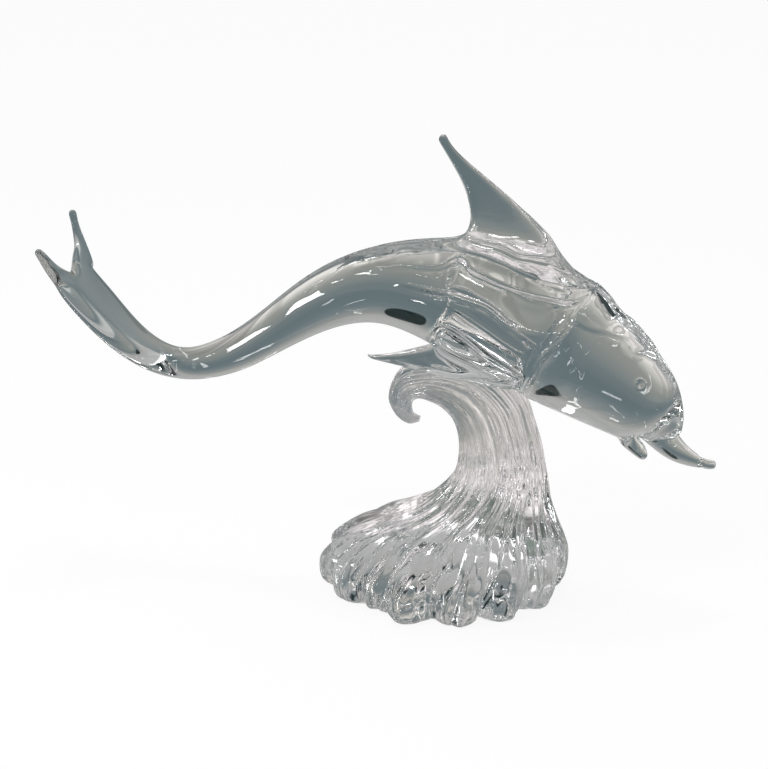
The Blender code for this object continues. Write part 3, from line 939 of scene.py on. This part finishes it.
def fire_polish_group():
    """Group that gives a soft ripple as a normal, and smears as a trace of haze."""
    group = bpy.data.node_groups.new("fire_polish", "ShaderNodeTree")
    face = group.interface
    for name, value in (("Ripple Scale", 30.0), ("Ripple Height", 0.1), ("Haze", 0.01)):
        socket = face.new_socket(name, in_out="INPUT", socket_type="NodeSocketFloat")
        socket.default_value = value
    face.new_socket("Roughness", in_out="OUTPUT", socket_type="NodeSocketFloat")
    face.new_socket("Normal", in_out="OUTPUT", socket_type="NodeSocketVector")
    inputs = group.nodes.new("NodeGroupInput").outputs
    outputs = group.nodes.new("NodeGroupOutput").inputs
    place = add_node(group, "TexCoord").outputs["Object"]
    ripple = add_node(group, "TexNoise", {"Vector": place, "Scale": inputs["Ripple Scale"], "Detail": 1.0})
    bump = add_node(group, "Bump", {
        "Distance": RIPPLE_STEP, "Strength": inputs["Ripple Height"], "Height": ripple.outputs["Fac"],
    })
    smear = add_node(group, "TexNoise", {"Vector": place, "Scale": SMEAR_SCALE, "Detail": 3.0})
    haze = map_range(group, smear.outputs["Fac"], SMEAR_RANGE, (0.0, inputs["Haze"]))
    group.links.new(haze, outputs["Roughness"])
    group.links.new(bump.outputs["Normal"], outputs["Normal"])
    return group


fire_polish = fire_polish_group()
print("Ripple group:", len(fire_polish.nodes), "nodes")

# %% [markdown]
# ## Two glasses
# Both pieces are the same kind of glass. The wave is a trace warmer, and its ripple is finer,
# because the ribs were drawn out and the dolphin was polished smooth.

# %% Glass materials
GLASS_IOR = 1.5
GLASS_HAZE = 0.02


def clear_glass(name, color, ripple_scale, ripple_height):
    """Clear glass with the shared ripple at its own size."""
    material = bpy.data.materials.new(name)
    material.use_nodes = True
    tree = material.node_tree
    shader = tree.nodes["Principled BSDF"]
    shader.inputs["Base Color"].default_value = color
    shader.inputs["IOR"].default_value = GLASS_IOR
    shader.inputs["Metallic"].default_value = 0.0
    shader.inputs["Transmission Weight"].default_value = 1.0
    polish = add_node(tree, "Group", node_tree=fire_polish)
    polish.inputs["Ripple Scale"].default_value = ripple_scale
    polish.inputs["Ripple Height"].default_value = ripple_height
    polish.inputs["Haze"].default_value = GLASS_HAZE
    tree.links.new(polish.outputs["Roughness"], shader.inputs["Roughness"])
    tree.links.new(polish.outputs["Normal"], shader.inputs["Normal"])
    return material


for mesh, name, color, ripple_scale, ripple_height in (
    (dolphin_mesh, "dolphin_clear_glass", (0.985, 0.995, 0.995, 1), 24, 0.05),
    (wave_mesh, "wave_clear_glass", (0.99, 0.985, 0.99, 1), 60, 0.08),
):
    mesh.materials.clear()
    mesh.materials.append(clear_glass(name, color, ripple_scale, ripple_height))
    print("Glass:", name)

# %% [markdown]
# ## Standing in for the solids
# Each glass mesh takes the place of the solid that it refines, which is hidden.

# %% Both pieces on the frame
for piece, node in ((dolphin, "dolphin"), (wave, "wave_base")):
    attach(piece, "root")
    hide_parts(node)

# %% [markdown]
# ## Floor
# The sculpture is shown cut out on white, with only a breath of shadow. Seen
# directly, the floor is white. What the glass bends into view is the studio table with its light
# painted on: a painted pool of warm, bright light under the sculpture, a ring of painted contact
# shadow round the foot, painted streaks of light thrown by the glass, and cool grey further out.

# %% Painted light and shade of the table
# radius in metres and colour of the painted light: a painted pool of light under the sculpture,
# a dark ring of painted contact shadow round the foot, and painted fall-off to cool grey further out
PAINTED_TABLE_LIGHT_TONES = (
    (0.0, (0.84, 0.79, 0.795, 1)),
    (0.06, (0.81, 0.758, 0.762, 1)),
    # painted contact shadow: this dark ring round the foot's edge stands in for shade
    (0.075, (0.15, 0.18, 0.16, 1)),
    (0.083, (0.11, 0.14, 0.125, 1)),
    (0.096, (0.63, 0.613, 0.597, 1)),
    (0.15, (0.64, 0.613, 0.582, 1)),
    (0.26, (0.31, 0.315, 0.29, 1)),
    (0.38, (0.235, 0.255, 0.245, 1)),
    (0.55, (0.16, 0.195, 0.205, 1)),
    (0.9, (0.13, 0.168, 0.18, 1)),
    (2.0, (0.135, 0.175, 0.188, 1)),
)
TABLE_REACH = PAINTED_TABLE_LIGHT_TONES[-1][0]
# Painted caustics, the light that the glass throws on the table: streaks to a turn, the noise values
# between which they go from the darkest to the brightest share, and where they start to fade and end, in
# metres
RAY_COUNT = 9.0
RAY_NOISE = (0.42, 0.58)
RAY_SHARE = (0.45, 1.55)
RAY_REACH = (0.10, 0.34)
# The table's edge nearest the viewer: Y in metres where it starts and where it is full, and colour
NEAR_EDGE = (-0.16, -0.34)
NEAR_COLOR = (0.105, 0.130, 0.135, 1)


def ramp_of(tree, value, tones, reach):
    """Colour of a value on a ramp, whose stops are at shares of the reach."""
    ramp = add_node(tree, "ValToRGB", {"Fac": value})
    while len(ramp.color_ramp.elements) < len(tones):
        ramp.color_ramp.elements.new(0.5)
    for element, (place, color) in zip(ramp.color_ramp.elements, tones):
        element.position = place / reach
        element.color = color
    return ramp.outputs["Color"]


def blend(tree, factor, first, second, **settings):
    """Mix two colours, each of them plain or a socket."""
    sources = {"Factor": factor, "A": first, "B": second}
    return add_node(tree, "Mix", sources, data_type="RGBA", **settings).outputs["Result"]


def painted_table_light(tree):
    """Painted light of the table: painted light and shade by radius, times painted streaks of light, and
    darker near the viewer.
    """
    place = add_node(tree, "TexCoord").outputs["Object"]
    radius = add_node(tree, "VectorMath", {0: place}, operation="LENGTH").outputs["Value"]
    share = add_node(tree, "Math", {0: radius, 1: TABLE_REACH}, operation="DIVIDE").outputs["Value"]
    painted_light_by_radius = ramp_of(tree, share, PAINTED_TABLE_LIGHT_TONES, TABLE_REACH)
    turned = add_node(tree, "VectorMath", {0: place}, operation="NORMALIZE").outputs["Vector"]
    rays = add_node(tree, "TexNoise", {"Vector": turned, "Scale": RAY_COUNT, "Detail": 3.0})
    strength = map_range(tree, rays.outputs["Fac"], RAY_NOISE, RAY_SHARE)
    fading = map_range(tree, radius, RAY_REACH, (1.0, 0.0))
    # painted caustic streaks of light multiply the painted light and shade near the sculpture
    with_painted_streaks = blend(tree, fading, painted_light_by_radius, strength, blend_type="MULTIPLY")
    parts = add_node(tree, "SeparateXYZ", {"Vector": place})
    near = map_range(tree, parts.outputs["Y"], NEAR_EDGE)
    return blend(tree, near, with_painted_streaks, NEAR_COLOR)


# %% [markdown]
# ## White to the camera
# The floor gives off its own light, so it stays even. To the camera it is white, with a little
# diffuse surface mixed in, which takes the breath of shadow.

# %% Pale floor
FLOOR_RADIUS = 4.0
# The floor lies this far below the foot, in metres
FLOOR_DROP = 0.0002
FLOOR_WHITE = (0.93, 0.93, 0.93, 1)
SHADOW_SHARE = 0.1


def pale_floor():
    """Round floor that is white to the camera, and to the glass a table with painted light and shade."""
    bm = bmesh.new()
    bmesh.ops.create_circle(bm, cap_ends=True, segments=96, radius=FLOOR_RADIUS)
    item = add_object("floor", mesh_of(bm, "floor"))
    item.location.z = -FLOOR_DROP
    material = bpy.data.materials.new("floor_pale")
    material.use_nodes = True
    tree = material.node_tree
    tree.nodes.clear()
    direct = add_node(tree, "LightPath").outputs["Is Camera Ray"]
    # Seen by the glass, the floor glows with the table's painted light and shade
    white_or_painted_table = blend(tree, direct, painted_table_light(tree), FLOOR_WHITE)
    glow = add_node(tree, "Emission", {"Color": white_or_painted_table})
    shade = add_node(tree, "BsdfDiffuse", {"Color": direct})
    faint = add_node(tree, "MixShader", {"Fac": SHADOW_SHARE, 2: shade.outputs["BSDF"]})
    both = add_node(tree, "AddShader", {0: glow.outputs["Emission"], 1: faint.outputs["Shader"]})
    add_node(tree, "OutputMaterial", {"Surface": both.outputs["Shader"]})
    item.data.materials.append(material)
    return item


floor = pale_floor()
print("Floor radius:", FLOOR_RADIUS)

# %% [markdown]
# ## Studio round the glass
# Clear glass shows only what stands round it. Seen directly the surroundings are white, as in
# the cut-out photograph. What the glass bends into view is a sweep behind the sculpture that
# is mid grey at the horizon and gets lighter with height, and a dim room behind the viewer,
# whose ceiling gives the deep accents where light is turned right round inside the glass.
# Pale cards stand low on both sides and a narrow dark flag behind to the right.

# %% Surroundings
# height of the direction, from 0 straight down to 2 straight up, and colour of the sweep
SWEEP_TONES = (
    (0.0, (0.135, 0.175, 0.188, 1)),
    (1.0, (0.15, 0.19, 0.205, 1)),
    (1.13, (0.22, 0.245, 0.248, 1)),
    (1.21, (0.29, 0.3, 0.29, 1)),
    (1.31, (0.395, 0.396, 0.382, 1)),
    (1.6, (0.45, 0.455, 0.455, 1)),
    (1.88, (0.48, 0.48, 0.48, 1)),
    (1.92, (1.3, 1.3, 1.3, 1)),
)
# the same for the room behind the viewer: dim walls under a dark ceiling
ROOM_TONES = (
    (0.0, (0.13, 0.16, 0.165, 1)),
    (1.0, (0.165, 0.195, 0.2, 1)),
    (1.45, (0.2, 0.225, 0.225, 1)),
    (1.7, (0.004, 0.014, 0.015, 1)),
    (2.0, (0.004, 0.014, 0.015, 1)),
)
TONES_REACH = 2.0
# Y of the direction where the sweep starts to give way to the room, and where the room is all
ROOM_EDGE = (0.20, -0.10)
# Cards round the table: turn and rise of the middle, half width and half height in degrees,
# share of the card that is evenly lit, and colour
CARDS = (
    (44, 9, 34, 20, 0.35, (0.505, 0.525, 0.515, 1)),
    (-64, 6, 24, 18, 0.35, (0.45, 0.465, 0.455, 1)),
    (4.5, 7, 5.4, 9.0, 0.85, (0.004, 0.014, 0.015, 1)),
)
# Scale along the line of sight, so large that depth has no part in a card's outline
FLATTENED = 1e6


def with_card(tree, place, seen, card):
    """Lay one oval card with soft edges over the colour that is seen so far."""
    turn, rise, half_width, half_height, even, color = card
    facing = add_node(tree, "Mapping", {
        "Vector": place,
        "Rotation": (math.radians(rise), 0.0, -math.radians(turn)),
        "Scale": (math.sin(math.radians(half_width)), FLATTENED, math.sin(math.radians(half_height))),
    }, vector_type="TEXTURE")
    off_middle = add_node(tree, "VectorMath", {0: facing.outputs["Vector"]}, operation="LENGTH")
    distance = off_middle.outputs["Value"]
    lit = map_range(tree, distance, (1.0, even), interpolation_type="SMOOTHSTEP")
    return blend(tree, lit, seen, color)


def surroundings():
    """World that is white to the camera and a studio to the glass."""
    world = bpy.data.worlds.new("studio")
    bpy.context.scene.world = world
    world.use_nodes = True
    tree = world.node_tree
    tree.nodes.clear()
    place = add_node(tree, "TexCoord").outputs["Generated"]
    parts = add_node(tree, "SeparateXYZ", {"Vector": place}).outputs
    height = map_range(tree, parts["Z"], (-1.0, 1.0))
    sweep = ramp_of(tree, height, SWEEP_TONES, TONES_REACH)
    room = ramp_of(tree, height, ROOM_TONES, TONES_REACH)
    seen = blend(tree, map_range(tree, parts["Y"], ROOM_EDGE), sweep, room)
    for card in CARDS:
        seen = with_card(tree, place, seen, card)
    around = add_node(tree, "Background", {"Color": seen})
    white = add_node(tree, "Background", {"Color": (1, 1, 1, 1)})
    mix = add_node(tree, "MixShader", {
        "Fac": add_node(tree, "LightPath").outputs["Is Camera Ray"],
        1: around.outputs["Background"],
        2: white.outputs["Background"],
    })
    add_node(tree, "OutputWorld", {"Surface": mix.outputs["Shader"]})


surroundings()
print("Studio with", len(CARDS), "cards")

# %% [markdown]
# ## Windows
# Glass shows a light as a sharp, small picture of it. Windows and slits stand where their
# pictures land in the highlights of the photograph, and a rolled one lies along the tail.

# %% Softboxes
# The lights face this point, in metres
SCULPTURE_MIDDLE = Vector((0.0, 0.0, 0.18))
# name, turn and rise of the light in degrees, distance, width and height in metres, roll
WINDOWS = (
    ("low_window", -128.5, 13.5, 1.6, 0.50, 0.18, -42),
    ("tall_window", -132, 35.5, 1.6, 0.20, 0.10, 0),
    ("slit_window", -125, 28, 1.6, 0.14, 0.05, 0),
    ("side_slit", -151, 12, 1.6, 0.06, 0.14, 0),
    ("high_slit", -150, 44, 1.6, 0.16, 0.03, 0),
    ("front_slit", 177, 29.5, 1.6, 0.36, 0.03, 0),
    ("table_lamp", -150, -12, 0.7, 0.02, 0.03, 0),
    ("front_window", -171, 54, 1.6, 0.26, 0.12, 0),
    ("front_lamp", -176, 14, 1.6, 0.12, 0.06, 0),
    ("top_box", -30, 78, 1.5, 0.26, 0.18, 0),
)
# All of them glow alike: watts for each square metre, over pi
WINDOW_GLOW = 22.0


def way(turn, rise):
    """Direction at a turn from +Y towards +X and a rise above the horizon, in degrees."""
    turn, rise = math.radians(turn), math.radians(rise)
    return Vector((math.sin(turn) * math.cos(rise), math.cos(turn) * math.cos(rise), math.sin(rise)))


def softbox(name, turn, rise, distance, size, roll, power):
    """A rectangular light that faces the sculpture from a direction."""
    light = bpy.data.lights.new(name, "AREA")
    light.shape = "RECTANGLE"
    light.size, light.size_y = size
    light.energy = power
    item = add_object(name, light)
    item.location = SCULPTURE_MIDDLE + way(turn, rise) * distance
    item.rotation_euler = (SCULPTURE_MIDDLE - item.location).to_track_quat("-Z", "Y").to_euler()
    item.rotation_euler.rotate_axis("Z", math.radians(roll))
    item.visible_camera = False


for name, turn, rise, distance, wide, high, roll in WINDOWS:
    softbox(name, turn, rise, distance, (wide, high), roll, WINDOW_GLOW * math.pi * wide * high)
print("Softboxes:", len(WINDOWS))

# %% [markdown]
# ## Camera
# A long lens from about 20 degrees above gives the flat perspective of the photograph.

# %% Camera
CAMERA_PLACE = (0.26976, -1.47065, 0.68387)
CAMERA_AIM = Vector((-0.04284, 0.0, 0.13664))
LENS_MM = 113.49
camera_data = bpy.data.cameras.new("camera")
camera_data.sensor_width = 36.0
camera_data.lens = LENS_MM
camera_data.clip_end = 20.0
camera = add_object("camera", camera_data)
camera.location = CAMERA_PLACE
sight = CAMERA_AIM - camera.location
camera.rotation_euler = sight.to_track_quat("-Z", "Y").to_euler()
bpy.context.scene.camera = camera
print("Camera to sculpture:", round(sight.length, 3), "m")

# %% [markdown]
# ## How the light is traced
# A path through a ribbed wave crosses many surfaces, so enough transmission bounces are needed
# before it may end, or the glass goes black. Colours are shown as they are, without a film curve.

# %% Light paths and view
scene = bpy.context.scene
scene.cycles.max_bounces = 24
scene.cycles.transmission_bounces = 24
scene.cycles.glossy_bounces = 12
scene.cycles.caustics_reflective = False
scene.cycles.caustics_refractive = False
scene.view_settings.view_transform = "Standard"
